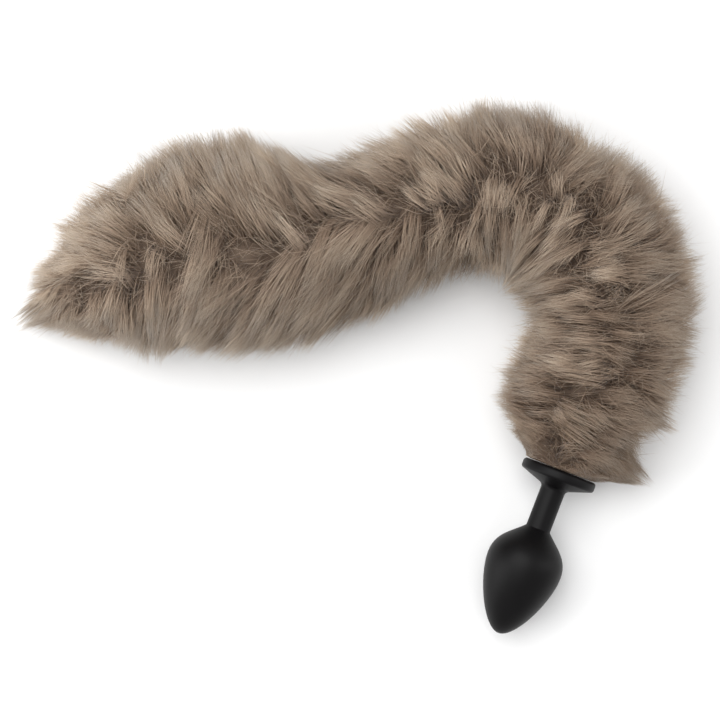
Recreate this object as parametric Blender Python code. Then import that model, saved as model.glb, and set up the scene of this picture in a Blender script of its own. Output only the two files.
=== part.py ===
# A silicone plug with a faux-fur tail, lying on its side with the tail curled in plan.
# Metres, +Z up. The floor is z = 0 and the origin is under the middle of the whole object.

import math
import random

import bmesh
import bpy
from mathutils import Matrix, Vector
from mathutils.geometry import interpolate_bezier

MM = 0.001

# Plug: one turned piece of silicone, measured along its axis from the flange's flat face
FLANGE_DIAMETER = 33.6 * MM
FLANGE_RIM = 4.2 * MM
FLANGE_CONE = 4.0 * MM
FLANGE_ROUND = 1.4 * MM
NECK_DIAMETER = 11.0 * MM
NECK_LENGTH = 19.2 * MM
NECK_ROUND = 2.0 * MM
BULB_DIAMETER = 34.0 * MM
BULB_LENGTH = 49.0 * MM
BULB_SHOULDER = 17.0 * MM
TURN_STEPS = 36
SEAM_MERGE = 0.01 * MM

# Handles of the bulb's two curves, as shares of each one's growth in radius and length
SHOULDER_FLARE = 0.42
SHOULDER_START = 0.30
SHOULDER_END = 0.52
NOSE_START = 0.35
NOSE_BLUNTNESS = 0.44
SHOULDER_POINTS = 9
NOSE_POINTS = 13
ROUND_POINTS = 5

# Peg: the plain hidden post that holds the tail on the flange
PEG_DIAMETER = 8.0 * MM
PEG_IN_PLUG = 6.0 * MM
PEG_IN_TAIL = 14.0 * MM
PEG_CHAMFER = 0.8 * MM
PEG_GAP = 0.3 * MM
SEAT_GAP = 0.3 * MM

# Tail, from the flange's face to the tips of its last hairs
TAIL_LENGTH = 372.0 * MM
TAIL_WIDTH = 96.0 * MM
TAIL_HEIGHT = 64.0 * MM
PLUG_HEADING = 69.0
SPINE_STEPS = 120

# Bends of the tail in plan: share of the length, turn from the plug's axis in degrees
TAIL_BENDS = (
    (0.00, -3),
    (0.06, 0),
    (0.12, 6),
    (0.18, 19),
    (0.24, 36),
    (0.30, 59),
    (0.35, 85),
    (0.39, 107),
    (0.44, 124),
    (0.51, 130),
    (0.61, 127),
    (0.69, 116),
    (0.76, 110),
    (0.82, 118),
    (0.88, 133),
    (0.94, 144),
    (1.00, 151),
)

# Outline of the fur's tips: share of the length, then the reach to the left and to the
# right as shares of half the width, and the top as a share of the height
FUR_SECTIONS = (
    (0.02, 0.74, 0.76, 0.70),
    (0.05, 0.80, 0.64, 0.80),
    (0.09, 0.87, 0.78, 0.92),
    (0.14, 0.81, 0.82, 0.97),
    (0.20, 0.77, 0.88, 1.00),
    (0.27, 0.87, 0.87, 1.00),
    (0.34, 0.83, 0.76, 0.97),
    (0.41, 0.82, 0.82, 0.94),
    (0.50, 0.72, 0.78, 0.89),
    (0.55, 0.76, 0.76, 0.88),
    (0.59, 0.82, 0.70, 0.90),
    (0.64, 0.88, 0.90, 0.96),
    (0.70, 0.92, 1.04, 1.00),
    (0.77, 0.92, 1.05, 1.00),
    (0.82, 0.86, 0.94, 0.95),
    (0.87, 0.90, 0.70, 0.84),
    (0.91, 0.77, 0.50, 0.70),
    (0.96, 0.47, 0.34, 0.50),
    (1.00, 0.26, 0.22, 0.34),
)

# Dense fur under the locks: its start on the flange as a share of the flange's radius, the
# shares of the length by which it is full and where it ends, the height of its widest
# place as a share of the top's, and how far the floor cuts into its round underside
ROOT_SHARE = 0.97
ROOT_BLEND = 0.03
DENSE_END = 0.955
WAIST_SHARE = 0.42
FLOOR_DIP = 7.0 * MM
DENSE_STATIONS = 30
DENSE_SIDES = 14

# Locks: tapered tufts that rise from the dense fur and lean towards the tail's tip
LOCK_RISE = 10.5 * MM
LOCK_REACH = 13.0 * MM
LOCK_WIDTH = 24.0 * MM
LOCK_THICKNESS = 13.0 * MM
LOCK_SINK = 8.0 * MM
LOCK_SIDES = 4
LOCK_ROWS = 21
LOCKS_PER_ROW = 7
FIRST_LOCK_ROW = 0.030
LAST_LOCK_ROW = 0.905
LOWEST_LOCK_ANGLE = -20.0

# A lock's path, as shares of its rise and reach, and its rings before the tip: share of
# the way along it, share of its width
LOCK_START_BACK = 0.4
LOCK_BEND_RISE = 0.7
LOCK_TIP_RISE = 1.2
LOCK_TAPER = (
    (0.0, 0.80),
    (0.4, 0.90),
    (0.7, 0.50),
)

# How much the locks differ from one another
LEAST_LOCK_SIZE = 0.65
MOST_LOCK_SIZE = 1.35
LOCK_SIZES = (0.85, 1.10)
LOCK_STRAY = 0.35
LOCK_STRAY_DEGREES = 6.0
LOCK_TURN = 0.6
SEED = 7

SILICONE = ("silicone", (0.018, 0.017, 0.018, 1.0), 0.45)
NYLON = ("nylon", (0.30, 0.28, 0.25, 1.0), 0.40)
FUR = ("fur", (0.30, 0.25, 0.21, 1.0), 0.90)


def clear_scene():
    for found in list(bpy.data.objects):
        bpy.data.objects.remove(found, do_unlink=True)


def finish(name, color, roughness):
    """A plain material in one of the object's own colours."""
    material = bpy.data.materials.new(name)
    material.use_nodes = True
    shader = material.node_tree.nodes["Principled BSDF"]
    shader.inputs["Base Color"].default_value = color
    shader.inputs["Roughness"].default_value = roughness
    shader.inputs["Metallic"].default_value = 0.0
    material.diffuse_color = color
    return material


def piece(name, mesh_builder, look, place):
    """A named object whose mesh is the builder's, at the given place."""
    mesh = bpy.data.meshes.new(name)
    mesh_builder.to_mesh(mesh)
    mesh_builder.free()
    made = bpy.data.objects.new(name, mesh)
    made.matrix_world = place
    made.data.materials.append(finish(*look))
    bpy.context.scene.collection.objects.link(made)
    return made


def between(table, share):
    """The table's values at this share of the length, in between two of its rows."""
    share = min(max(share, table[0][0]), table[-1][0])
    for low, high in zip(table, table[1:]):
        if share <= high[0]:
            part = (share - low[0]) / (high[0] - low[0])
            return [a + (b - a) * part for a, b in zip(low[1:], high[1:])]
    return list(table[-1][1:])


def smooth_step(value):
    value = min(max(value, 0.0), 1.0)
    return value * value * (3 - 2 * value)


# Plug


def rounded(corner, before, after, radius):
    """Points of the arc that rounds a corner between two straight lines."""
    corner, before, after = Vector(corner), Vector(before), Vector(after)
    back = (before - corner).normalized()
    ahead = (after - corner).normalized()
    half = back.angle(ahead) / 2
    middle = corner + (back + ahead).normalized() * radius / math.sin(half)
    start = corner + back * radius / math.tan(half) - middle
    end = corner + ahead * radius / math.tan(half) - middle
    sweep = start.angle_signed(end)
    turns = [-sweep * k / (ROUND_POINTS - 1) for k in range(ROUND_POINTS)]
    return [middle + Matrix.Rotation(turn, 2) @ start for turn in turns]


def flange_outline():
    """Radius and depth of the flange, from its socket to the neck."""
    flange = FLANGE_DIAMETER / 2
    neck = NECK_DIAMETER / 2
    socket = PEG_DIAMETER / 2 + PEG_GAP
    socket_floor = PEG_IN_PLUG + PEG_GAP
    under = FLANGE_RIM + FLANGE_CONE
    neck_middle = (neck, under + NECK_LENGTH / 2)
    rim_edge = (flange, FLANGE_RIM)
    cone_foot = (neck, under)
    return [
        Vector((0, socket_floor)),
        Vector((socket, socket_floor)),
        Vector((socket, 0)),
        *rounded((flange, 0), (socket, 0), rim_edge, FLANGE_ROUND),
        *rounded(rim_edge, (flange, 0), cone_foot, FLANGE_ROUND),
        *rounded(cone_foot, rim_edge, neck_middle, NECK_ROUND),
    ]


def bulb_outline():
    """Radius and depth of the bulb, from the neck's end to its tip."""
    neck = NECK_DIAMETER / 2
    widest = BULB_DIAMETER / 2
    start = FLANGE_RIM + FLANGE_CONE + NECK_LENGTH
    shoulder = start + BULB_SHOULDER
    tip = start + BULB_LENGTH
    nose = tip - shoulder
    flare = neck + (widest - neck) * SHOULDER_FLARE
    shoulder_curve = interpolate_bezier(
        Vector((neck, start)),
        Vector((flare, start + BULB_SHOULDER * SHOULDER_START)),
        Vector((widest, shoulder - BULB_SHOULDER * SHOULDER_END)),
        Vector((widest, shoulder)),
        SHOULDER_POINTS,
    )
    nose_curve = interpolate_bezier(
        Vector((widest, shoulder)),
        Vector((widest, shoulder + nose * NOSE_START)),
        Vector((widest * NOSE_BLUNTNESS, tip)),
        Vector((0, tip)),
        NOSE_POINTS,
    )
    return shoulder_curve + nose_curve[1:]


def resting_line():
    """The straight line that touches the flange and the bulb from outside.

    It gives how high the middle of the flange's face lies over the floor, and the slope
    of the plug's axis, when the plug lies on its side.
    """
    neck_middle = FLANGE_RIM + FLANGE_CONE + NECK_LENGTH / 2
    best = None
    for rim in flange_outline():
        for side in bulb_outline():
            slope = (side.x - rim.x) / (side.y - rim.y)
            radius_at_neck = rim.x + slope * (neck_middle - rim.y)
            if best is None or radius_at_neck > best[0]:
                best = (radius_at_neck, rim.x - slope * rim.y, slope)
    angle = math.atan(best[2])
    return best[1] * math.cos(angle), angle


def plug_place():
    """Where the flange's face is: its local +Z points out of the face, into the tail."""
    height, slope = resting_line()
    heading = math.radians(PLUG_HEADING)
    out = Vector((math.cos(heading), math.sin(heading), 0)) * math.cos(slope)
    out.z = -math.sin(slope)
    turn = out.to_track_quat("Z", "Y").to_matrix().to_4x4()
    return Matrix.Translation((0, 0, height)) @ turn


def turned(outline):
    """A closed solid of revolution about local Z. Depth runs down from the flange."""
    shape = bmesh.new()
    corners = [shape.verts.new((point.x, 0, -point.y)) for point in outline]
    edges = [shape.edges.new(pair) for pair in zip(corners, corners[1:])]
    bmesh.ops.spin(
        shape,
        geom=corners + edges,
        cent=(0, 0, 0),
        axis=(0, 0, 1),
        angle=math.tau,
        steps=TURN_STEPS,
        use_merge=True,
    )
    bmesh.ops.remove_doubles(shape, verts=shape.verts, dist=SEAM_MERGE)
    bmesh.ops.recalc_face_normals(shape, faces=shape.faces)
    return shape


def smooth(made, sharp_degrees):
    made.data.shade_smooth()
    made.data.set_sharp_from_angle(angle=math.radians(sharp_degrees))
    return made


def make_plug(place):
    outline = flange_outline() + bulb_outline()
    return smooth(piece("plug_body", turned(outline), SILICONE, place), 40)


def make_peg(place):
    radius = PEG_DIAMETER / 2
    end = radius - PEG_CHAMFER
    outline = [
        Vector((0, -PEG_IN_TAIL)),
        Vector((end, -PEG_IN_TAIL)),
        Vector((radius, PEG_CHAMFER - PEG_IN_TAIL)),
        Vector((radius, PEG_IN_PLUG - PEG_CHAMFER)),
        Vector((end, PEG_IN_PLUG)),
        Vector((0, PEG_IN_PLUG)),
    ]
    return smooth(piece("tail_peg", turned(outline), NYLON, place), 30)


# Tail


def spine(place, count):
    """Points of the tail's middle line in plan, evenly spaced from root to tip."""
    point = place.translation.copy()
    step = TAIL_LENGTH / count
    points = [point.copy()]
    for k in range(count):
        turn = between(TAIL_BENDS, (k + 0.5) / count)[0]
        heading = math.radians(PLUG_HEADING + turn)
        point += Vector((math.cos(heading), math.sin(heading), 0)) * step
        points.append(point.copy())
    return points


class Fur:
    """The tail's outline at any share of its length and any angle round it."""

    def __init__(self, place):
        self.count = SPINE_STEPS
        self.points = spine(place, self.count)
        self.root_height = place.translation.z
        self.root_reach = ROOT_SHARE * FLANGE_DIAMETER / 2

    def middle(self, share):
        """The middle line's point in plan, and the way ahead there."""
        at = min(max(share, 0.0), 1.0) * self.count
        low = min(int(at), self.count - 1)
        ahead = self.points[low + 1] - self.points[low]
        point = self.points[low] + ahead * (at - low)
        return Vector((point.x, point.y, 0)), ahead.normalized()

    def section(self, share, inset):
        """Reach left and right, and heights of the top, widest place and bottom."""
        left, right, top = between(FUR_SECTIONS, share)
        half = TAIL_WIDTH / 2
        left, right = left * half - inset, right * half - inset
        top = top * TAIL_HEIGHT - inset
        waist = top * WAIST_SHARE
        bottom = -FLOOR_DIP
        grown = smooth_step(share / ROOT_BLEND)
        root = (
            self.root_reach,
            self.root_reach,
            self.root_height + self.root_reach,
            self.root_height,
            self.root_height - self.root_reach,
        )
        spread = (left, right, top, waist, bottom)
        return [a + (b - a) * grown for a, b in zip(root, spread)]

    def point(self, share, degrees, inset):
        """A place on the outline. 0 degrees is the right side, 90 the top."""
        left, right, top, waist, bottom = self.section(share, inset)
        middle, ahead = self.middle(share)
        aside = Vector((ahead.y, -ahead.x, 0))
        angle = math.radians(degrees)
        across, up = math.cos(angle), math.sin(angle)
        reach = right if across > 0 else left
        rise = (top - waist) if up > 0 else (waist - bottom)
        return middle + aside * across * reach + Vector((0, 0, waist + up * rise))

    def outward(self, share, degrees, inset):
        """The direction away from the tail at that place."""
        onward = self.point(share, degrees + 2, inset)
        back = self.point(share, degrees - 2, inset)
        ahead = self.middle(share)[1]
        return ahead.cross(onward - back).normalized()


def ring(shape, points):
    """A closed ring of edges through these points."""
    made = bmesh.ops.create_circle(shape, cap_ends=False, radius=MM, segments=len(points))
    for vertex, point in zip(made["verts"], points):
        vertex.co = point
    return [edge for vertex in made["verts"] for edge in vertex.link_edges]


def skin(shape, rings, tip=None):
    """Walls from ring to ring, a flat start and a flat or pointed end."""
    loops = [ring(shape, points) for points in rings]
    for low, high in zip(loops, loops[1:]):
        bmesh.ops.bridge_loops(shape, edges=list({*low, *high}))
    bmesh.ops.edgeloop_fill(shape, edges=list(set(loops[0])))
    cap = bmesh.ops.edgeloop_fill(shape, edges=list(set(loops[-1])))["faces"]
    if tip is not None:
        bmesh.ops.poke(shape, faces=cap)["verts"][0].co = tip


def dense_fur(fur):
    """The mass of fur under the locks, from the flange to a rounded end."""
    shape = bmesh.new()
    rings = []
    angles = [360 * side / DENSE_SIDES for side in range(DENSE_SIDES)]
    for k in range(DENSE_STATIONS + 1):
        share = DENSE_END * k / DENSE_STATIONS
        rings.append([fur.point(share, angle, LOCK_RISE) for angle in angles])
    end, ahead = fur.middle(DENSE_END)
    end += ahead * LOCK_RISE + Vector((0, 0, LOCK_RISE / 2))
    skin(shape, rings, end)
    bmesh.ops.recalc_face_normals(shape, faces=shape.faces)
    return shape


def lock(path, across, size):
    """One tapered tuft along three points, flat against the fur under it."""
    shape = bmesh.new()
    start, bend, tip = path
    rings = []
    for along, taper in LOCK_TAPER:
        low, high = start.lerp(bend, along), bend.lerp(tip, along)
        middle = low.lerp(high, along)
        ahead = (high - low).normalized()
        side = (across - ahead * across.dot(ahead)).normalized()
        over = ahead.cross(side)
        points = []
        for k in range(LOCK_SIDES):
            angle = math.tau * k / LOCK_SIDES
            offset = side * math.cos(angle) * LOCK_WIDTH / 2
            offset += over * math.sin(angle) * LOCK_THICKNESS / 2
            points.append(middle + offset * taper * size)
        rings.append(points)
    skin(shape, rings, tip)
    bmesh.ops.recalc_face_normals(shape, faces=shape.faces)
    return shape


def fur_locks(fur):
    """Rows of staggered locks round the tail, larger where a bend spreads them."""
    chance = random.Random(SEED)
    span = 180 - 2 * LOWEST_LOCK_ANGLE
    row_step = (LAST_LOCK_ROW - FIRST_LOCK_ROW) / (LOCK_ROWS - 1)
    locks = []
    for row in range(LOCK_ROWS):
        for place in range(LOCKS_PER_ROW):
            around = (place + (row % 2) / 2) / (LOCKS_PER_ROW - 0.5)
            degrees = LOWEST_LOCK_ANGLE + span * around
            degrees += chance.uniform(-LOCK_STRAY_DEGREES, LOCK_STRAY_DEGREES)
            share = FIRST_LOCK_ROW + row_step * row
            share += chance.uniform(-LOCK_STRAY, LOCK_STRAY) * row_step
            surface = fur.point(share, degrees, LOCK_RISE)
            next_row = fur.point(share + row_step, degrees, LOCK_RISE)
            spread = (next_row - surface).length / (row_step * TAIL_LENGTH)
            size = min(max(spread, LEAST_LOCK_SIZE), MOST_LOCK_SIZE)
            size *= chance.uniform(*LOCK_SIZES)
            outward = fur.outward(share, degrees, LOCK_RISE)
            ahead = fur.middle(share)[1]
            across = ahead.cross(outward).normalized()
            lean = ahead + across * chance.uniform(-LOCK_TURN, LOCK_TURN)
            lean *= LOCK_REACH * size
            start = surface - outward * LOCK_SINK - lean * LOCK_START_BACK
            bend = surface + outward * LOCK_RISE * LOCK_BEND_RISE
            tip = surface + outward * LOCK_RISE * LOCK_TIP_RISE + lean
            locks.append(lock((start, bend, tip), across, size))
    return locks


def combine(made, operation, shapes, place):
    """Joins the shapes to the piece or cuts them out of it, by a Boolean modifier.

    The manifold solver is used because the exact one leaves slivers between locks.
    """
    helpers = bpy.data.collections.new(operation.lower())
    bpy.context.scene.collection.children.link(helpers)
    for shape in shapes:
        mesh = bpy.data.meshes.new("helper")
        shape.to_mesh(mesh)
        shape.free()
        helper = bpy.data.objects.new("helper", mesh)
        helper.matrix_world = place
        helper.hide_render = True
        helper.display_type = "WIRE"
        helpers.objects.link(helper)
    modifier = made.modifiers.new(helpers.name, "BOOLEAN")
    modifier.operation = operation
    modifier.solver = "MANIFOLD"
    modifier.operand_type = "COLLECTION"
    modifier.collection = helpers


def islands(shape):
    """The sets of faces that hang together at edges with two faces, each as a list."""
    waiting = set(shape.faces)
    found = []
    while waiting:
        island = [waiting.pop()]
        for face in island:
            edges = [edge for edge in face.edges if len(edge.link_faces) == 2]
            for other in {other for edge in edges for other in edge.link_faces} & waiting:
                waiting.remove(other)
                island.append(other)
        found.append(island)
    return found


def keep_outer_skin(made):
    """Applies the Booleans, then drops pockets closed in by locks and cut-off tips."""
    bpy.context.view_layer.update()
    graph = bpy.context.evaluated_depsgraph_get()
    shape = bmesh.new()
    shape.from_mesh(made.evaluated_get(graph).to_mesh())
    bmesh.ops.triangulate(shape, faces=shape.faces)
    skins = sorted(islands(shape), key=len)
    inner = [face for island in skins[:-1] for face in island]
    bmesh.ops.delete(shape, geom=inner, context="FACES")
    for helpers in [modifier.collection for modifier in made.modifiers]:
        for helper in list(helpers.objects):
            bpy.data.objects.remove(helper)
        bpy.data.collections.remove(helpers)
    made.modifiers.clear()
    shape.to_mesh(made.data)
    shape.free()


def block(size, middle):
    shape = bmesh.new()
    bmesh.ops.create_cube(shape, size=1.0)
    bmesh.ops.scale(shape, vec=size, verts=shape.verts)
    bmesh.ops.translate(shape, vec=middle, verts=shape.verts)
    return shape


def make_tail(place):
    """Dense fur with its locks, cut level at the floor and flat at the flange."""
    fur = Fur(place)
    tail = piece("fur_tail", dense_fur(fur), FUR, Matrix.Identity(4))
    combine(tail, "UNION", fur_locks(fur), Matrix.Identity(4))

    room = TAIL_LENGTH * 2.2
    floor = block((room, room, TAIL_WIDTH), (0, 0, -TAIL_WIDTH / 2))
    combine(tail, "DIFFERENCE", [floor], Matrix.Identity(4))

    reach = TAIL_WIDTH * 2
    seat = block((reach, reach, TAIL_WIDTH), (0, 0, SEAT_GAP - TAIL_WIDTH / 2))
    radius = PEG_DIAMETER / 2 + PEG_GAP
    end = -PEG_IN_TAIL - PEG_GAP
    hole = [(0, end), (radius, end), (radius, PEG_IN_PLUG), (0, PEG_IN_PLUG)]
    combine(tail, "DIFFERENCE", [seat, turned([Vector(corner) for corner in hole])], place)
    keep_outer_skin(tail)
    return tail


def stand_on_origin(pieces):
    """Parents the pieces to one empty and moves it, so that the origin is under the middle."""
    bpy.context.view_layer.update()
    graph = bpy.context.evaluated_depsgraph_get()
    corners = []
    for made in pieces:
        shown = made.evaluated_get(graph)
        corners += [shown.matrix_world @ vertex.co for vertex in shown.data.vertices]
    middle = Vector(
        (
            (min(c.x for c in corners) + max(c.x for c in corners)) / 2,
            (min(c.y for c in corners) + max(c.y for c in corners)) / 2,
            min(c.z for c in corners),
        )
    )
    holder = bpy.data.objects.new("tail_plug", None)
    bpy.context.scene.collection.objects.link(holder)
    for made in pieces:
        made.parent = holder
    holder.location = -middle


def main():
    clear_scene()
    place = plug_place()
    pieces = [make_plug(place), make_peg(place), make_tail(place)]
    stand_on_origin(pieces)


main()
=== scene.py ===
# A silicone plug with a faux-fur tail: its finishes, fur, floor, light and camera.
# Metres, +Z up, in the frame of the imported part.

import math
import random

import bmesh
import bpy
import numpy as np
from mathutils import Matrix, Vector
from mathutils.geometry import interpolate_bezier


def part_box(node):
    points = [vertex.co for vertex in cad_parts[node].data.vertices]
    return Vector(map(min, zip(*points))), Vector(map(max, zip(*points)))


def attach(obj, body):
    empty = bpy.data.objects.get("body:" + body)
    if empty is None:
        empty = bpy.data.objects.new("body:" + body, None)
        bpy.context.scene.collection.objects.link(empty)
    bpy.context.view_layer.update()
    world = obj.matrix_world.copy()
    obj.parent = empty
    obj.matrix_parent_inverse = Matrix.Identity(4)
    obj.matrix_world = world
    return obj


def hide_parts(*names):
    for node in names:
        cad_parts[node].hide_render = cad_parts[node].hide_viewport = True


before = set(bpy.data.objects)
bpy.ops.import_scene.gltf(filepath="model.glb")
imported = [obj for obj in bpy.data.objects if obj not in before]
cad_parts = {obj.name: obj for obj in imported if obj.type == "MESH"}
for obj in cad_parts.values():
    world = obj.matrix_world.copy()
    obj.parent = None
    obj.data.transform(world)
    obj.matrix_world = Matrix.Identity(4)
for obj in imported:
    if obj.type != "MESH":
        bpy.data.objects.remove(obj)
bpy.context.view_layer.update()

MM = 0.001

# Plug, as in the part's source
FLANGE_DIAMETER = 33.6 * MM
FLANGE_RIM = 4.2 * MM
FLANGE_CONE = 4.0 * MM
FLANGE_ROUND = 1.4 * MM
NECK_DIAMETER = 11.0 * MM
NECK_LENGTH = 19.2 * MM
NECK_ROUND = 2.0 * MM
BULB_DIAMETER = 34.0 * MM
BULB_LENGTH = 49.0 * MM
BULB_SHOULDER = 17.0 * MM
SHOULDER_FLARE = 0.42
SHOULDER_START = 0.30
SHOULDER_END = 0.52
NOSE_START = 0.35
NOSE_BLUNTNESS = 0.44
TURN_STEPS = 96
SHOULDER_POINTS = 14
NOSE_POINTS = 24
ROUND_POINTS = 7

# Peg between the plug and the tail
PEG_DIAMETER = 8.0 * MM
PEG_IN_PLUG = 6.0 * MM
PEG_IN_TAIL = 14.0 * MM
PEG_GAP = 0.3 * MM
SEAT_GAP = 0.3 * MM
FACE_REACH = 60.0 * MM
RIM_CLEARANCE = 1.0 * MM

# Tail, as in the part's source
TAIL_LENGTH = 372.0 * MM
TAIL_WIDTH = 96.0 * MM
TAIL_HEIGHT = 64.0 * MM
PLUG_HEADING = 69.0
SPINE_STEPS = 240

# Bends of the tail in plan: share of the length, turn from the plug's axis in degrees
TAIL_BENDS = (
    (0.00, -3),
    (0.06, 0),
    (0.12, 6),
    (0.18, 19),
    (0.24, 36),
    (0.30, 59),
    (0.35, 85),
    (0.39, 107),
    (0.44, 124),
    (0.51, 130),
    (0.61, 127),
    (0.69, 116),
    (0.76, 110),
    (0.82, 118),
    (0.88, 133),
    (0.94, 144),
    (1.00, 151),
)

# Outline of the fur's tips: share of the length, then the reach to the left and to the
# right as shares of half the width, and the top as a share of the height
FUR_SECTIONS = (
    (0.02, 0.74, 0.76, 0.70),
    (0.05, 0.80, 0.64, 0.80),
    (0.09, 0.87, 0.78, 0.92),
    (0.14, 0.81, 0.82, 0.97),
    (0.20, 0.77, 0.88, 1.00),
    (0.27, 0.87, 0.87, 1.00),
    (0.34, 0.83, 0.76, 0.97),
    (0.41, 0.82, 0.82, 0.94),
    (0.50, 0.72, 0.78, 0.89),
    (0.55, 0.76, 0.76, 0.88),
    (0.59, 0.82, 0.70, 0.90),
    (0.64, 0.88, 0.90, 0.96),
    (0.70, 0.92, 1.04, 1.00),
    (0.77, 0.92, 1.05, 1.00),
    (0.82, 0.86, 0.94, 0.95),
    (0.87, 0.90, 0.70, 0.84),
    (0.91, 0.77, 0.50, 0.70),
    (0.96, 0.47, 0.34, 0.50),
    (1.00, 0.26, 0.22, 0.34),
)
ROOT_SHARE = 0.97
ROOT_BLEND = 0.03
ROOT_INSET = 0.1
WAIST_SHARE = 0.42
FLOOR_DIP = 7.0 * MM

# Locks, laid out as in the part's source
LOCK_ROWS = 21
LOCKS_PER_ROW = 7
FIRST_LOCK_ROW = 0.030
LAST_LOCK_ROW = 0.905
LOWEST_LOCK_ANGLE = -20.0
LOCK_STRAY = 0.35
LOCK_STRAY_DEGREES = 6.0
LOCK_SEED = 7

# Under-fur: the dark backing that the strands stand in
UNDER_INSET = 17.0 * MM
UNDER_STATIONS = 110
UNDER_SIDES = 44
UNDER_END = 0.93
UNDER_SPACING = 1.15

# Strands: how many on each stretch of the tail, their thickness, and the depth of the roots
FUR_STRETCHES = (
    ("fur_by_flange", 0.00, 0.19),
    ("fur_on_bend", 0.19, 0.38),
    ("fur_after_bend", 0.38, 0.57),
    ("fur_mid_length", 0.57, 0.75),
    ("fur_at_end", 0.75, 0.94),
)
STRANDS_PER_STRETCH = 18800
STRAND_RINGS = (0.0, 0.48, 1.0)
STRAND_THICKNESS = (1.0, 0.9, 0.0)
STRAND_RADIUS = 0.15 * MM
STRAND_SEED = 31
ROOT_DEPTH = 20.0 * MM
UNDERSIDE = (-30, 210)
UNDERSIDE_THINNED = 0.6
STRETCH_LIMITS = (0.3, 1.9)
MM_PER_DEGREE = 0.62

# Kinds of strands as shares of all: short under-coat and loose fly-away hairs
UNDERCOAT_SHARE = 0.28
FLYAWAY_SHARE = 0.10

# How far the tips stray in each kind: millimetres ahead, degrees around
COAT_STRAY = (1.6, 3.5)
FLYAWAY_STRAY = (6, 16)
UNDERCOAT_STRAY = (4, 16)

# Depth of the tips under the outline in millimetres: the least and the spread of the coat
# beyond its wisp, the same of the fly-aways, and the range of the under-coat
COAT_DEPTH = (-0.6, 2.0)
FLYAWAY_DEPTH = (-0.6, 2.2)
UNDERCOAT_DEPTH = (5, 13)

# Shares of the coat's lean and sweep that the under-coat takes
UNDERCOAT_FOLLOWS = (0.6, 0.5)

# Curve of a strand: powers of its way ahead and of its rise
STRAND_AHEAD = 1.25
STRAND_RISE = 1.2

# Tone of single strands and kinds, and the thickness of fly-aways and of all
TONE_STRAY = 0.07
UNDERCOAT_TONE = -0.12
FLYAWAY_TONE = 0.08
FLYAWAY_THICKNESS = 0.75
THICKNESS_STRAY = 0.2
THICKNESS_LIMITS = (0.6, 1.5)

# Hair at the flange: least gap to its face, and the lap over its rim as a share of the gap
FACE_GAP = 0.5
RIM_LAP = 1.5

# Wisps: groups of strands that point one way
WISPS_PER_STRETCH = 480
WISP_CLOSING = 0.38
WISP_CLOSING_SPREAD = 0.15
MOST_CLOSING = 0.6
WISP_LEAN_STRAY = 3.0
WISP_SWEEP_STRAY = 7
WISP_DEPTH = (0.8, 2.4)
WISP_DEPTH_LIMITS = (-3.5, 7.0)
WISP_TONE_STRAY = 0.10
LOCK_CLOSING = 0.22
LONG_LOCK_CLOSING = 0.5

# Slow flow over the tail: cycles along it, cycles around it, and how much it changes the
# lean in millimetres, the sweep and the crest in degrees, and the tone
FLOW_ALONG = (5, 14)
FLOW_AROUND = (1, 6)
FLOW_COUNT = 7
LEAN_FLOW = 3.2
SWEEP_FLOW = 7
CREST_FLOW = 9
TONE_FLOW = 0.05
LEAN_SEED, SWEEP_SEED, CREST_SEED, TONE_SEED = 1, 2, 3, 4

# Crest: sway in degrees, its pace and its start; and where wisps may fall to either side
CREST_SWAYS = ((14, 31, 0), (9, 73, 1))
CREST_WIDTH = 45
CREST_STRAY = 15

# Way that the hair lies: share of the length, then the reach ahead from root to tip in
# millimetres on the tail's left side and on its right
HAIR_LEAN = (
    (0.00, -2, -4),
    (0.05, -4, -6),
    (0.10, 0, -2),
    (0.16, 2, 1),
    (0.25, 0, 1),
    (0.34, 1, 2),
    (0.42, 5, 4),
    (0.50, 15, 16),
    (0.56, 20, 22),
    (0.63, 18, 15),
    (0.72, 16, 8),
    (0.82, 17, 6),
    (0.90, 18, 10),
    (0.94, 20, 17),
    (1.00, 20, 20),
)

# Hair beyond the solid's outline: share of the length, then the millimetres on the left
# and on the right
HAIR_REACH = (
    (0.000, 0.0, 0.0),
    (0.025, -7.0, 0.0),
    (0.050, 0.5, -2.0),
    (0.100, 0.5, -1.0),
    (0.200, -2.0, 0.0),
    (0.240, 0.0, 1.0),
    (0.280, 0.0, 1.5),
    (0.350, 0.0, 1.0),
    (0.400, 0.0, 2.0),
    (0.450, 0.0, 2.0),
    (0.500, -0.5, 1.5),
    (0.600, 0.5, -1.5),
    (0.640, 1.0, 0.0),
    (0.700, 1.0, 2.0),
    (0.770, 1.5, 2.5),
    (0.820, 1.5, -1.0),
    (0.850, 2.5, -3.0),
    (0.900, 0.5, -1.5),
    (0.925, -2.0, -4.5),
    (0.950, -3.0, -4.0),
    (0.975, -4.0, -6.0),
    (1.000, -9.0, -9.0),
)

# Parting: angle of the root from the crest, and how far the hair sweeps down from there
HAIR_PARTING = (
    (0, 30),
    (20, 34),
    (45, 27),
    (70, 12),
    (95, 2),
    (130, -8),
    (180, 0),
)

# Longer locks that stand out of the outline: share of the length, angle, reach and
# half-width in millimetres
LONG_LOCKS = (
    (0.022, 8, 5, 10),
    (0.045, 172, 3, 10),
    (0.081, 10, 3, 9),
    (0.237, 8, 2, 9),
    (0.318, 8, 2, 9),
    (0.660, 172, 4, 9),
    (0.833, 170, 4, 9),
    (0.872, 10, 6, 9),
    (0.910, 12, 5, 8),
)

# Shift of tone along the tail, darker towards the flange and paler towards the end, added to a
# strand's own
TONE_ALONG_TAIL = (
    (0.00, -0.34),
    (0.10, -0.20),
    (0.25, -0.10),
    (0.40, 0.00),
    (0.60, 0.00),
    (0.75, 0.04),
    (0.88, 0.14),
    (1.00, 0.28),
)


def between(table, share, column=1):
    """The table's column at these shares of the length, in between its rows."""
    return np.interp(share, [row[0] for row in table], [row[column] for row in table])


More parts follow.
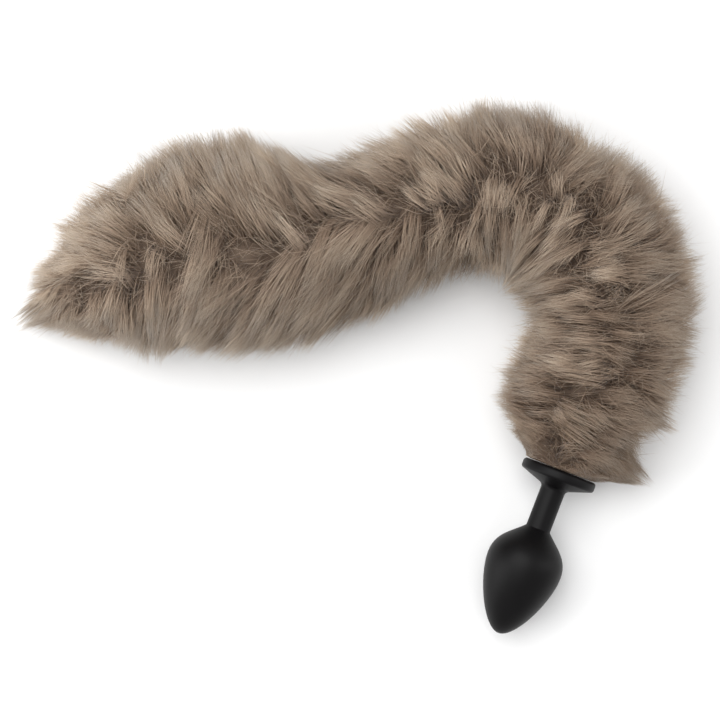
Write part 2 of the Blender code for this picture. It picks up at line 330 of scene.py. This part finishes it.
def smooth_step(value):
    value = np.clip(value, 0.0, 1.0)
    return value * value * (3 - 2 * value)


# Places on the tail


def peg_axis():
    """The middle of the flange's face, and the plug's axis out of it into the tail."""
    low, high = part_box("tail_peg")
    heading = math.radians(PLUG_HEADING)
    flat = Vector((math.cos(heading), math.sin(heading), 0))
    middle = (low + high) / 2
    length = FLANGE_RIM + FLANGE_CONE + NECK_LENGTH + BULB_SHOULDER
    length += (PEG_IN_TAIL - PEG_IN_PLUG) / 2
    slope = math.asin((BULB_DIAMETER / 2 - middle.z) / length)
    axis = flat * math.cos(slope)
    axis.z = -math.sin(slope)
    return middle - axis * (PEG_IN_TAIL - PEG_IN_PLUG) / 2, axis


class Outline:
    """Places on the fur's outline, or under it, for arrays of shares and angles."""

    def __init__(self, root):
        shares = (np.arange(SPINE_STEPS) + 0.5) / SPINE_STEPS
        headings = np.radians(PLUG_HEADING + between(TAIL_BENDS, shares))
        steps = np.stack([np.cos(headings), np.sin(headings)], 1) * TAIL_LENGTH / SPINE_STEPS
        self.points = np.vstack([[root.x, root.y], [root.x, root.y] + np.cumsum(steps, 0)])
        self.root_height = root.z

    def heading(self, share):
        return np.radians(PLUG_HEADING + between(TAIL_BENDS, share))

    def middle(self, share):
        at = np.clip(share, 0, 1) * SPINE_STEPS
        steps = np.arange(SPINE_STEPS + 1)
        over = (share - np.clip(share, 0, 1)) * TAIL_LENGTH
        heading = self.heading(share)
        x = np.interp(at, steps, self.points[:, 0]) + np.cos(heading) * over
        y = np.interp(at, steps, self.points[:, 1]) + np.sin(heading) * over
        return x, y, heading

    def place(self, share, degrees, inset):
        """0 degrees is the right side and 90 the top, seen along the tail."""
        share, degrees, inset = np.broadcast_arrays(share, degrees, inset)
        half = TAIL_WIDTH / 2
        grown = smooth_step(share / ROOT_BLEND)
        root_reach = ROOT_SHARE * FLANGE_DIAMETER / 2 - inset * ROOT_INSET
        left = between(FUR_SECTIONS, share, 1) * half - inset
        right = between(FUR_SECTIONS, share, 2) * half - inset
        top = between(FUR_SECTIONS, share, 3) * TAIL_HEIGHT - inset
        left, right = (np.maximum(side, 1.5 * MM) for side in (left, right))
        top = np.maximum(top, 6 * MM)
        waist = top * WAIST_SHARE
        left = root_reach + (left - root_reach) * grown
        right = root_reach + (right - root_reach) * grown
        high = self.root_height + root_reach
        low = self.root_height - root_reach
        top = high + (top - high) * grown
        waist = self.root_height + (waist - self.root_height) * grown
        bottom = low + (-FLOOR_DIP - low) * grown
        angle = np.radians(degrees)
        across, up = np.cos(angle), np.sin(angle)
        reach = np.where(across > 0, right, left) * across
        rise = np.where(up > 0, top - waist, waist - bottom) * up
        x, y, heading = self.middle(share)
        return np.stack(
            [x + np.sin(heading) * reach, y - np.cos(heading) * reach, waist + rise], -1
        )


# Mesh helpers


def add_piece(name, shape, look):
    """A named piece of the object, from a mesh builder."""
    mesh = bpy.data.meshes.new(name)
    shape.to_mesh(mesh)
    shape.free()
    return place_piece(name, mesh, look)


def place_piece(name, mesh, look):
    made = bpy.data.objects.new(name, mesh)
    bpy.context.scene.collection.objects.link(made)
    mesh.materials.clear()
    mesh.materials.append(look)
    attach(made, "root")
    return made


def ring(shape, points):
    """A closed ring of edges through these points."""
    made = bmesh.ops.create_circle(shape, cap_ends=False, radius=MM, segments=len(points))
    for vertex, point in zip(made["verts"], points):
        vertex.co = point
    return list(dict.fromkeys(edge for vertex in made["verts"] for edge in vertex.link_edges))


def skin(shape, rings):
    """Walls from ring to ring, closed at both ends."""
    loops = [ring(shape, points) for points in rings]
    for low, high in zip(loops, loops[1:]):
        bmesh.ops.bridge_loops(shape, edges=low + high)
    bmesh.ops.edgeloop_fill(shape, edges=loops[0])
    bmesh.ops.edgeloop_fill(shape, edges=loops[-1])
    bmesh.ops.recalc_face_normals(shape, faces=shape.faces)


# Plug


def rounded(corner, before, after, radius):
    """Points of the arc that rounds a corner between two straight lines."""
    corner, before, after = Vector(corner), Vector(before), Vector(after)
    back = (before - corner).normalized()
    ahead = (after - corner).normalized()
    half = back.angle(ahead) / 2
    middle = corner + (back + ahead).normalized() * radius / math.sin(half)
    start = corner + back * radius / math.tan(half) - middle
    end = corner + ahead * radius / math.tan(half) - middle
    sweep = start.angle_signed(end)
    turns = [-sweep * k / (ROUND_POINTS - 1) for k in range(ROUND_POINTS)]
    return [middle + Matrix.Rotation(turn, 2) @ start for turn in turns]


def plug_outline():
    """Radius and depth of the plug, from the flange's socket to the tip."""
    flange = FLANGE_DIAMETER / 2
    neck = NECK_DIAMETER / 2
    widest = BULB_DIAMETER / 2
    socket = PEG_DIAMETER / 2 + PEG_GAP
    under = FLANGE_RIM + FLANGE_CONE
    start = under + NECK_LENGTH
    shoulder = start + BULB_SHOULDER
    tip = start + BULB_LENGTH
    rim_edge, cone_foot = (flange, FLANGE_RIM), (neck, under)
    points = [
        Vector((0, PEG_IN_PLUG + PEG_GAP)),
        Vector((socket, PEG_IN_PLUG + PEG_GAP)),
        Vector((socket, 0)),
        *rounded((flange, 0), (socket, 0), rim_edge, FLANGE_ROUND),
        *rounded(rim_edge, (flange, 0), cone_foot, FLANGE_ROUND),
        *rounded(cone_foot, rim_edge, (neck, under + NECK_LENGTH / 2), NECK_ROUND),
    ]
    points += interpolate_bezier(
        Vector((neck, start)),
        Vector((neck + (widest - neck) * SHOULDER_FLARE, start + BULB_SHOULDER * SHOULDER_START)),
        Vector((widest, shoulder - BULB_SHOULDER * SHOULDER_END)),
        Vector((widest, shoulder)),
        SHOULDER_POINTS,
    )
    points += interpolate_bezier(
        Vector((widest, shoulder)),
        Vector((widest, shoulder + (tip - shoulder) * NOSE_START)),
        Vector((widest * NOSE_BLUNTNESS, tip)),
        Vector((0, tip)),
        NOSE_POINTS,
    )[1:]
    return points


def make_plug(root, axis):
    """The plug, turned finely about its axis."""
    shape = bmesh.new()
    corners = [shape.verts.new((point.x, 0, -point.y)) for point in plug_outline()]
    edges = [shape.edges.new(pair) for pair in zip(corners, corners[1:])]
    bmesh.ops.spin(
        shape,
        geom=corners + edges,
        cent=(0, 0, 0),
        axis=(0, 0, 1),
        angle=math.tau,
        steps=TURN_STEPS,
        use_merge=True,
    )
    bmesh.ops.remove_doubles(shape, verts=shape.verts, dist=0.01 * MM)
    bmesh.ops.recalc_face_normals(shape, faces=shape.faces)
    turn = axis.to_track_quat("Z", "Y").to_matrix().to_4x4()
    bmesh.ops.transform(shape, matrix=Matrix.Translation(root) @ turn, verts=shape.verts)
    plug = add_piece("silicone_plug", shape, soft_silicone())
    plug.data.shade_smooth()
    plug.data.set_sharp_from_angle(angle=math.radians(40))
    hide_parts("plug_body")
    return plug


# Fur


def lock_layout():
    """Share and angle of each lock, drawn in the same order as the solid's."""
    chance = random.Random(LOCK_SEED)
    span = 180 - 2 * LOWEST_LOCK_ANGLE
    row_step = (LAST_LOCK_ROW - FIRST_LOCK_ROW) / (LOCK_ROWS - 1)
    locks = []
    for row in range(LOCK_ROWS):
        for spot in range(LOCKS_PER_ROW):
            around = (spot + (row % 2) / 2) / (LOCKS_PER_ROW - 0.5)
            degrees = LOWEST_LOCK_ANGLE + span * around
            degrees += chance.uniform(-LOCK_STRAY_DEGREES, LOCK_STRAY_DEGREES)
            share = FIRST_LOCK_ROW + row_step * row
            share += chance.uniform(-LOCK_STRAY, LOCK_STRAY) * row_step
            locks.append((share, degrees))
            # the solid draws each lock's size and turn here
            chance.random()
            chance.random()
    return np.array(locks)


def beyond_face(points, root, axis, gap, overlap=0):
    """Moves points near the plug ahead, where needed, to stay clear of the flange's face.

    Outside the rim they may lie back over it as far as the overlap."""
    off = points - np.array(root)
    depth = off @ np.array(axis)
    distance = np.linalg.norm(off, axis=-1)
    beside = np.sqrt(np.maximum(distance**2 - depth**2, 0)) > FLANGE_DIAMETER / 2 + RIM_CLEARANCE
    behind = np.where(beside, -overlap, gap) - depth
    behind = behind * (distance < FACE_REACH)
    return points + np.maximum(behind, 0)[..., None] * np.array(axis)


def make_under_fur(outline, root, axis):
    """The backing inside the fur, with the peg's hole, flat where it lies on the floor."""
    face_axis = np.array(axis)
    side_axis = Vector((0, 0, 1)).cross(axis).normalized()
    up_axis = axis.cross(side_axis)
    angles = np.arange(UNDER_SIDES) * 360 / UNDER_SIDES
    rings = []
    for depth in (PEG_IN_TAIL + PEG_GAP, SEAT_GAP):
        hole = []
        for angle in np.radians(angles):
            across = side_axis * -math.cos(angle) + up_axis * math.sin(angle)
            hole.append(root + axis * depth + across * (PEG_DIAMETER / 2 + PEG_GAP))
        rings.append(hole)
    shares = UNDER_END * np.linspace(0, 1, UNDER_STATIONS) ** UNDER_SPACING
    for share in shares:
        points = outline.place(share, angles, UNDER_INSET)
        points = beyond_face(points, root, axis, SEAT_GAP)
        if share == 0:
            ahead = (points - np.array(root)) @ face_axis - SEAT_GAP
            points -= ahead[:, None] * face_axis
        points[:, 2] = np.maximum(points[:, 2], 0)
        rings.append(points)
    shape = bmesh.new()
    skin(shape, rings)
    under = add_piece("under_fur", shape, under_fur_look())
    under.data.shade_smooth()
    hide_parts("fur_tail")
    return under


def nearest(share, degrees, centres):
    """The index of the nearest centre to each root, over the tail's surface."""
    found = np.zeros(len(share), int)
    for start in range(0, len(share), 2000):
        part = slice(start, start + 2000)
        along = (share[part, None] - centres[None, :, 0]) * TAIL_LENGTH / MM
        around = (degrees[part, None] - centres[None, :, 1]) * MM_PER_DEGREE
        found[part] = np.argmin(along**2 + around**2, axis=1)
    return found


def flow(seed, share, degrees):
    """A slow change over the tail's surface, about -2 to 2, as a sum of waves."""
    chance = np.random.default_rng(seed)
    waves_along = chance.uniform(*FLOW_ALONG, FLOW_COUNT) * chance.choice((-1, 1), FLOW_COUNT)
    waves_around = chance.integers(*FLOW_AROUND, FLOW_COUNT)
    phases = chance.uniform(0, math.tau, FLOW_COUNT)
    total = 0
    for along, around, phase in zip(waves_along, waves_around, phases):
        total = total + np.sin(math.tau * along * share + around * np.radians(degrees) + phase)
    return total / math.sqrt(FLOW_COUNT / 2)


def both_sides(table, share, degrees):
    """A table's value between its left and right columns, for hair at these angles."""
    to_right = 0.5 + 0.5 * np.cos(np.radians(degrees))
    return between(table, share, 1) * (1 - to_right) + between(table, share, 2) * to_right


def sweep_of(share, degrees, chance):
    """Degrees that hair sweeps around the tail from its root, away from a wandering crest."""
    crest = 90
    for sway, pace, start in CREST_SWAYS:
        crest = crest + sway * np.sin(share * pace + start)
    crest = crest + CREST_FLOW * flow(CREST_SEED, share, degrees)
    off = degrees - crest
    strayed = off + CREST_STRAY * chance.normal(size=len(share))
    side = np.where(np.abs(off) < CREST_WIDTH, np.sign(strayed), np.sign(off))
    return side * between(HAIR_PARTING, np.abs(off))


def lay_wisps(locks, chance, first, last):
    """Wisps on one stretch: place, reach ahead, sweep around, tip's depth, tone, closing."""
    count = WISPS_PER_STRETCH
    share = chance.uniform(first - 0.01, last + 0.01, count)
    degrees = chance.uniform(-90, 270, count)
    own = chance.normal(size=(5, count))
    ahead = both_sides(HAIR_LEAN, share, degrees) + WISP_LEAN_STRAY * own[0]
    ahead += LEAN_FLOW * flow(LEAN_SEED, share, degrees)
    ahead = ahead * MM / TAIL_LENGTH
    sweep = sweep_of(share, degrees, chance) + WISP_SWEEP_STRAY * own[1]
    sweep += SWEEP_FLOW * flow(SWEEP_SEED, share, degrees)
    lock = locks[nearest(share, degrees, locks)]
    to_lock = np.where((degrees > -40) & (degrees < 220), LOCK_CLOSING, 0)
    ahead += (lock[:, 0] - share) * to_lock
    sweep += (lock[:, 1] - degrees) * to_lock
    depth = np.clip(WISP_DEPTH[0] + WISP_DEPTH[1] * own[2], *WISP_DEPTH_LIMITS) * MM
    tone = WISP_TONE_STRAY * own[3] + TONE_FLOW * flow(TONE_SEED, share, degrees)
    closing = np.clip(WISP_CLOSING + WISP_CLOSING_SPREAD * own[4], 0.0, MOST_CLOSING)
    return np.stack([share, degrees, ahead, sweep, depth, tone, closing], 1)


def stretch_of(outline, share, degrees):
    """How much longer the outline is at this angle than the tail's middle line."""
    step = 0.5 / SPINE_STEPS
    behind = outline.place(share - step, degrees, 0)[..., :2]
    ahead = outline.place(share + step, degrees, 0)[..., :2]
    longer = np.linalg.norm(ahead - behind, axis=-1) / (2 * step * TAIL_LENGTH)
    return np.clip(longer, *STRETCH_LIMITS)


def scatter(outline, chance, first, last, count):
    """Shares and angles of roots, spread evenly over the surface but fewer underneath."""
    share = chance.uniform(first, last, 4 * count)
    degrees = chance.uniform(-90, 270, 4 * count)
    below = (degrees < UNDERSIDE[0]) | (degrees > UNDERSIDE[1])
    wanted = stretch_of(outline, share, degrees) / STRETCH_LIMITS[1]
    wanted = wanted * np.where(below, 1 - UNDERSIDE_THINNED, 1)
    order = np.argsort(chance.random(4 * count) ** (1 / wanted))[-count:]
    return share[order], degrees[order]


def hair_paths(outline, root, axis, locks, chance, first, last, count):
    """Rings' places, radii and tones of the strands on one stretch of the tail."""
    share, degrees = scatter(outline, chance, first, last, count)
    step = MM / TAIL_LENGTH / stretch_of(outline, share, degrees)

    wisps = lay_wisps(locks, chance, first, last)
    wisp = wisps[nearest(share, degrees, wisps)].T
    stray = chance.normal(size=(6, count))
    kind = chance.random(count)
    short = kind < UNDERCOAT_SHARE
    loose = kind > 1 - FLYAWAY_SHARE

    ahead = wisp[2] + COAT_STRAY[0] * step * stray[0] + (wisp[0] - share) * wisp[6]
    sweep = wisp[3] + COAT_STRAY[1] * stray[1] + (wisp[1] - degrees) * wisp[6]
    depth = wisp[4] + (np.abs(stray[2]) * COAT_DEPTH[1] + COAT_DEPTH[0]) * MM
    ahead = np.where(loose, wisp[2] + FLYAWAY_STRAY[0] * step * stray[0], ahead)
    sweep = np.where(loose, wisp[3] + FLYAWAY_STRAY[1] * stray[1], sweep)
    depth = np.where(loose, (FLYAWAY_DEPTH[0] + FLYAWAY_DEPTH[1] * stray[2]) * MM, depth)
    short_ahead = UNDERCOAT_FOLLOWS[0] * ahead + UNDERCOAT_STRAY[0] * step * stray[0]
    short_sweep = UNDERCOAT_FOLLOWS[1] * sweep + UNDERCOAT_STRAY[1] * stray[1]
    ahead = np.where(short, short_ahead, ahead)
    sweep = np.where(short, short_sweep, sweep)
    depth = np.where(short, chance.uniform(*UNDERCOAT_DEPTH, count) * MM, depth)

    tip_share, tip_degrees = share + ahead, degrees + sweep
    to_side = np.abs(np.cos(np.radians(tip_degrees)))
    depth = depth - both_sides(HAIR_REACH, tip_share, tip_degrees) * to_side * MM
    for lock_share, lock_degrees, reach, width in LONG_LOCKS:
        along = (tip_share - lock_share) * TAIL_LENGTH / MM
        around = (tip_degrees - lock_degrees) * MM_PER_DEGREE
        near = np.where(short, 0, np.exp(-(along**2 + around**2) / width**2))
        tip_share += (lock_share - tip_share) * near * LONG_LOCK_CLOSING
        tip_degrees += (lock_degrees - tip_degrees) * near * LONG_LOCK_CLOSING
        depth = depth - reach * near**2 * MM

    rings = []
    for along in STRAND_RINGS:
        forward = along**STRAND_AHEAD
        rise = 1 - (1 - along) ** STRAND_RISE
        at = share + (tip_share - share) * forward
        around = degrees + (tip_degrees - degrees) * forward
        rings.append(outline.place(at, around, ROOT_DEPTH + (depth - ROOT_DEPTH) * rise))
    points = np.stack(rings, 1)
    gap = (FACE_GAP + np.abs(stray[3, :, None])) * MM
    points = beyond_face(points, root, axis, gap, RIM_LAP * gap)
    floor = STRAND_RADIUS + np.abs(stray[4]) * 0.5 * MM
    points[:, :, 2] = np.maximum(points[:, :, 2], floor[:, None])

    radius = STRAND_RADIUS * np.clip(1 + THICKNESS_STRAY * stray[5], *THICKNESS_LIMITS)
    radius = radius * np.where(loose, FLYAWAY_THICKNESS, 1)
    radii = radius[:, None] * np.array(STRAND_THICKNESS)
    tone = 0.5 + between(TONE_ALONG_TAIL, share) + wisp[5] + TONE_STRAY * stray[3]
    tone += np.where(short, UNDERCOAT_TONE, 0) + np.where(loose, FLYAWAY_TONE, 0)
    return points, radii, np.clip(tone, 0.02, 0.96)


def sweep_nodes():
    """Nodes that sweep a three-sided outline along every strand, with its own UV map."""
    tree = bpy.data.node_groups.new("sweep_strands", "GeometryNodeTree")
    tree.interface.new_socket("Guide", in_out="INPUT", socket_type="NodeSocketObject")
    tree.interface.new_socket("Mesh", in_out="OUTPUT", socket_type="NodeSocketGeometry")
    nodes, links = tree.nodes, tree.links
    guide = nodes.new("NodeGroupInput")
    strands = nodes.new("GeometryNodeObjectInfo")
    links.new(guide.outputs["Guide"], strands.inputs["Object"])
    straight = nodes.new("GeometryNodeCurveSplineType")
    straight.spline_type = "POLY"
    links.new(strands.outputs["Geometry"], straight.inputs["Curve"])

    along = nodes.new("GeometryNodeSplineParameter")
    tone = named(nodes, "tone")
    keep = nodes.new("GeometryNodeCaptureAttribute")
    keep.capture_items.new("FLOAT", "Along")
    keep.capture_items.new("FLOAT", "Tone")
    links.new(straight.outputs["Curve"], keep.inputs["Geometry"])
    links.new(along.outputs["Factor"], keep.inputs["Along"])
    links.new(tone.outputs["Attribute"], keep.inputs["Tone"])

    outline = nodes.new("GeometryNodeCurvePrimitiveCircle")
    outline.inputs["Resolution"].default_value = 3
    outline.inputs["Radius"].default_value = 1.0
    around = nodes.new("GeometryNodeSplineParameter")
    keep_around = nodes.new("GeometryNodeCaptureAttribute")
    keep_around.capture_items.new("FLOAT", "Around")
    links.new(outline.outputs["Curve"], keep_around.inputs["Geometry"])
    links.new(around.outputs["Factor"], keep_around.inputs["Around"])

    sweep = nodes.new("GeometryNodeCurveToMesh")
    sweep.inputs["Fill Caps"].default_value = True
    links.new(keep.outputs["Geometry"], sweep.inputs["Curve"])
    links.new(keep_around.outputs["Geometry"], sweep.inputs["Profile Curve"])
    links.new(named(nodes, "radius").outputs["Attribute"], sweep.inputs["Scale"])

    across = nodes.new("ShaderNodeMath")
    across.operation = "MULTIPLY_ADD"
    across.inputs[1].default_value = 0.02
    links.new(keep_around.outputs["Around"], across.inputs[0])
    links.new(keep.outputs["Tone"], across.inputs[2])
    place = nodes.new("ShaderNodeCombineXYZ")
    links.new(across.outputs[0], place.inputs["X"])
    links.new(keep.outputs["Along"], place.inputs["Y"])
    store = nodes.new("GeometryNodeStoreNamedAttribute")
    store.data_type = "FLOAT2"
    store.domain = "CORNER"
    store.inputs["Name"].default_value = "OFBake"
    links.new(sweep.outputs["Mesh"], store.inputs["Geometry"])
    links.new(place.outputs["Vector"], store.inputs["Value"])

    close = nodes.new("GeometryNodeMergeByDistance")
    close.inputs["Distance"].default_value = 0.0005 * MM
    links.new(store.outputs["Geometry"], close.inputs["Geometry"])
    smooth = nodes.new("GeometryNodeSetShadeSmooth")
    links.new(close.outputs["Geometry"], smooth.inputs["Geometry"])
    end = nodes.new("NodeGroupOutput")
    links.new(smooth.outputs["Geometry"], end.inputs[0])
    return tree


def named(nodes, name):
    """A node that reads a strand's own value."""
    node = nodes.new("GeometryNodeInputNamedAttribute")
    node.data_type = "FLOAT"
    node.inputs["Name"].default_value = name
    return node


def strand_mesh(name, points, radii, tones, sweep):
    """One closed mesh with every strand of a stretch."""
    count, rings = radii.shape
    curves = bpy.data.hair_curves.new(name)
    curves.add_curves([rings] * count)
    curves.attributes["position"].data.foreach_set("vector", points.astype(np.float32).ravel())
    radius = curves.attributes.get("radius") or curves.attributes.new("radius", "FLOAT", "POINT")
    radius.data.foreach_set("value", radii.astype(np.float32).ravel())
    tone = curves.attributes.new("tone", "FLOAT", "CURVE")
    tone.data.foreach_set("value", tones.astype(np.float32))
    guide = bpy.data.objects.new(name + "_guide", curves)
    bpy.context.scene.collection.objects.link(guide)
    swept = bpy.data.objects.new(name + "_swept", bpy.data.meshes.new(name + "_swept"))
    bpy.context.scene.collection.objects.link(swept)
    modifier = swept.modifiers.new("sweep", "NODES")
    modifier.node_group = sweep
    modifier[sweep.interface.items_tree["Guide"].identifier] = guide
    graph = bpy.context.evaluated_depsgraph_get()
    mesh = bpy.data.meshes.new_from_object(swept.evaluated_get(graph))
    mesh.name = name
    bpy.data.objects.remove(swept)
    bpy.data.objects.remove(guide)
    return mesh


def make_fur(outline, root, axis):
    """Strands in locks over the whole tail, one piece for each stretch of it."""
    locks = lock_layout()
    sweep = sweep_nodes()
    look = fur_look()
    for number, (name, first, last) in enumerate(FUR_STRETCHES):
        chance = np.random.default_rng(STRAND_SEED + number)
        hair = hair_paths(
            outline, root, axis, locks, chance, first, last, STRANDS_PER_STRETCH
        )
        mesh = strand_mesh(name, *hair, sweep)
        place_piece(name, mesh, look)


# Materials


def new_look(name):
    material = bpy.data.materials.new(name)
    material.use_nodes = True
    return material, material.node_tree.nodes, material.node_tree.links


def srgb(red, green, blue):
    """A colour in the renderer's linear values, from 0 to 255 screen values."""
    values = [channel / 255 for channel in (red, green, blue)]
    linear = [v / 12.92 if v <= 0.04045 else ((v + 0.055) / 1.055) ** 2.4 for v in values]
    return (*linear, 1.0)


def ramp(nodes, stops):
    node = nodes.new("ShaderNodeValToRGB")
    elements = node.color_ramp.elements
    while len(elements) < len(stops):
        elements.new(0.5)
    for element, (position, color) in zip(elements, stops):
        element.position = position
        element.color = color
    return node


def noise(nodes, links, vector, scale, detail=3.0, rough=0.5):
    node = nodes.new("ShaderNodeTexNoise")
    node.inputs["Scale"].default_value = scale
    node.inputs["Detail"].default_value = detail
    node.inputs["Roughness"].default_value = rough
    links.new(vector, node.inputs["Vector"])
    return node.outputs["Fac"]


def spread(nodes, links, value, low, high):
    """The value from 0 to 1, mapped onto low to high."""
    node = nodes.new("ShaderNodeMapRange")
    node.inputs["To Min"].default_value = low
    node.inputs["To Max"].default_value = high
    links.new(value, node.inputs["Value"])
    return node.outputs["Result"]


def bump(nodes, links, height, strength, distance):
    node = nodes.new("ShaderNodeBump")
    node.inputs["Strength"].default_value = strength
    node.inputs["Distance"].default_value = distance
    links.new(height, node.inputs["Height"])
    return node.outputs["Normal"]


def fur_look():
    """Dark brown roots and pale taupe tips, with finer streaks along each strand; the palest tips
    are partly the fur's own colour and partly painted rim light.
    """
    material, nodes, links = new_look("faux_fur")
    shader = nodes["Principled BSDF"]
    uv = nodes.new("ShaderNodeUVMap")
    uv.uv_map = "OFBake"
    parts = nodes.new("ShaderNodeSeparateXYZ")
    links.new(uv.outputs["UV"], parts.inputs[0])
    dark = ramp(
        nodes,
        [
            (0.0, srgb(82, 64, 50)),
            (0.5, srgb(111, 90, 74)),
            (0.8, srgb(147, 126, 107)),
            (1.0, srgb(186, 168, 148)),
        ],
    )
    # Pale ramp: its last stop, the palest tips, is partly the fur's own colour and partly painted
    # rim light on the outline.
    pale = ramp(
        nodes,
        [
            (0.0, srgb(116, 95, 79)),
            (0.45, srgb(160, 139, 119)),
            (0.8, srgb(206, 187, 166)),
            (1.0, srgb(246, 232, 213)),
        ],
    )
    links.new(parts.outputs["Y"], dark.inputs["Fac"])
    links.new(parts.outputs["Y"], pale.inputs["Fac"])
    mix = nodes.new("ShaderNodeMix")
    mix.data_type = "RGBA"
    links.new(parts.outputs["X"], mix.inputs["Factor"])
    links.new(dark.outputs["Color"], mix.inputs["A"])
    links.new(pale.outputs["Color"], mix.inputs["B"])
    links.new(mix.outputs["Result"], shader.inputs["Base Color"])

    stretch = nodes.new("ShaderNodeMapping")
    stretch.inputs["Scale"].default_value = (90.0, 7.0, 1.0)
    links.new(uv.outputs["UV"], stretch.inputs["Vector"])
    streaks = noise(nodes, links, stretch.outputs["Vector"], 1.0)
    links.new(spread(nodes, links, streaks, 0.55, 0.85), shader.inputs["Roughness"])
    links.new(bump(nodes, links, streaks, 0.3, 0.05 * MM), shader.inputs["Normal"])
    shader.inputs["Specular IOR Level"].default_value = 0.2
    shader.inputs["Sheen Weight"].default_value = 0.2
    shader.inputs["Sheen Roughness"].default_value = 0.4
    return material


def under_fur_look():
    """The dark short pile at the foot of the strands."""
    material, nodes, links = new_look("under_fur_pile")
    shader = nodes["Principled BSDF"]
    place = nodes.new("ShaderNodeTexCoord").outputs["Object"]
    patches = noise(nodes, links, place, 70.0, 4.0)
    hairs = noise(nodes, links, place, 900.0, 5.0, 0.7)
    color = ramp(nodes, [(0.3, srgb(74, 60, 50)), (0.7, srgb(112, 96, 83))])
    links.new(patches, color.inputs["Fac"])
    links.new(color.outputs["Color"], shader.inputs["Base Color"])
    links.new(spread(nodes, links, hairs, 0.75, 0.95), shader.inputs["Roughness"])
    links.new(bump(nodes, links, hairs, 0.8, 1.0 * MM), shader.inputs["Normal"])
    shader.inputs["Specular IOR Level"].default_value = 0.2
    return material


def soft_silicone():
    """Black silicone with a matt, soft-touch skin."""
    material, nodes, links = new_look("soft_silicone")
    shader = nodes["Principled BSDF"]
    place = nodes.new("ShaderNodeTexCoord").outputs["Object"]
    clouds = noise(nodes, links, place, 60.0, 3.0)
    grain = noise(nodes, links, place, 2600.0, 2.0)
    color = ramp(nodes, [(0.3, srgb(8, 7, 8)), (0.7, srgb(11, 10, 11))])
    links.new(clouds, color.inputs["Fac"])
    links.new(color.outputs["Color"], shader.inputs["Base Color"])
    links.new(spread(nodes, links, clouds, 0.40, 0.52), shader.inputs["Roughness"])
    links.new(bump(nodes, links, grain, 0.12, 0.05 * MM), shader.inputs["Normal"])
    shader.inputs["Specular IOR Level"].default_value = 0.15
    return material


def peg_nylon():
    """Pale moulded nylon for the hidden peg."""
    material, nodes, links = new_look("peg_nylon")
    shader = nodes["Principled BSDF"]
    place = nodes.new("ShaderNodeTexCoord").outputs["Object"]
    clouds = noise(nodes, links, place, 300.0, 3.0)
    color = ramp(nodes, [(0.3, srgb(176, 168, 154)), (0.7, srgb(190, 182, 168))])
    links.new(clouds, color.inputs["Fac"])
    links.new(color.outputs["Color"], shader.inputs["Base Color"])
    links.new(spread(nodes, links, clouds, 0.35, 0.5), shader.inputs["Roughness"])
    links.new(bump(nodes, links, clouds, 0.1, 0.1 * MM), shader.inputs["Normal"])
    return material


def floor_look():
    material, nodes, links = new_look("pale_floor")
    shader = nodes["Principled BSDF"]
    place = nodes.new("ShaderNodeTexCoord").outputs["Object"]
    clouds = noise(nodes, links, place, 6.0, 2.0)
    color = ramp(nodes, [(0.3, (0.84, 0.84, 0.84, 1)), (0.7, (0.86, 0.86, 0.86, 1))])
    links.new(clouds, color.inputs["Fac"])
    links.new(color.outputs["Color"], shader.inputs["Base Color"])
    shader.inputs["Roughness"].default_value = 0.9
    return material


# Studio


def make_floor():
    shape = bmesh.new()
    bmesh.ops.create_grid(shape, x_segments=1, y_segments=1, size=6.0)
    bmesh.ops.translate(shape, vec=(0, 0, -0.1 * MM), verts=shape.verts)
    mesh = bpy.data.meshes.new("studio_floor")
    shape.to_mesh(mesh)
    shape.free()
    mesh.materials.append(floor_look())
    floor = bpy.data.objects.new("studio_floor", mesh)
    bpy.context.scene.collection.objects.link(floor)


def soft_box(name, place, size, power, aim=(0, 0, 0)):
    light = bpy.data.lights.new(name, "AREA")
    light.shape = "RECTANGLE"
    light.size, light.size_y = size
    light.energy = power
    lamp = bpy.data.objects.new(name, light)
    lamp.location = place
    lamp.rotation_mode = "QUATERNION"
    lamp.rotation_quaternion = (Vector(place) - Vector(aim)).to_track_quat("Z", "Y")
    bpy.context.scene.collection.objects.link(lamp)


def make_light():
    soft_box("overhead", (-0.35, 0.5, 1.6), (1.5, 1.5), 24)
    soft_box("left_side", (-1.3, -0.1, 0.6), (0.6, 1.4), 9)
    soft_box("right_side", (1.3, 0.0, 0.6), (0.6, 1.4), 5)
    world = bpy.data.worlds.new("studio")
    world.use_nodes = True
    background = world.node_tree.nodes["Background"]
    background.inputs["Color"].default_value = (1.0, 1.0, 1.0, 1.0)
    background.inputs["Strength"].default_value = 0.60
    bpy.context.scene.world = world
    bpy.context.scene.view_settings.view_transform = "Standard"


# Camera straight above the object: the photograph's size of a pixel on the object's
# middle height, and the pixel at which the flange's face has its middle
PIXEL = 0.4375 * MM
IMAGE_SIZE = 720
FLANGE_PIXEL = (561, 470.5)
CAMERA_DISTANCE = 1.3
CAMERA_PLANE = 20.0 * MM
SENSOR = 36.0


def make_camera(root):
    camera = bpy.data.cameras.new("camera")
    camera.sensor_width = SENSOR
    camera.lens = SENSOR * CAMERA_DISTANCE / (IMAGE_SIZE * PIXEL)
    eye = bpy.data.objects.new("camera", camera)
    across = (FLANGE_PIXEL[0] - IMAGE_SIZE / 2) * PIXEL
    down = (FLANGE_PIXEL[1] - IMAGE_SIZE / 2) * PIXEL
    eye.location = (root.x - across, root.y + down, CAMERA_DISTANCE + CAMERA_PLANE)
    bpy.context.scene.collection.objects.link(eye)
    bpy.context.scene.camera = eye


def main():
    root, axis = peg_axis()
    outline = Outline(root)
    make_plug(root, axis)
    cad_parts["tail_peg"].data.materials.clear()
    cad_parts["tail_peg"].data.materials.append(peg_nylon())
    make_under_fur(outline, root, axis)
    make_fur(outline, root, axis)
    make_floor()
    make_light()
    make_camera(root)


main()
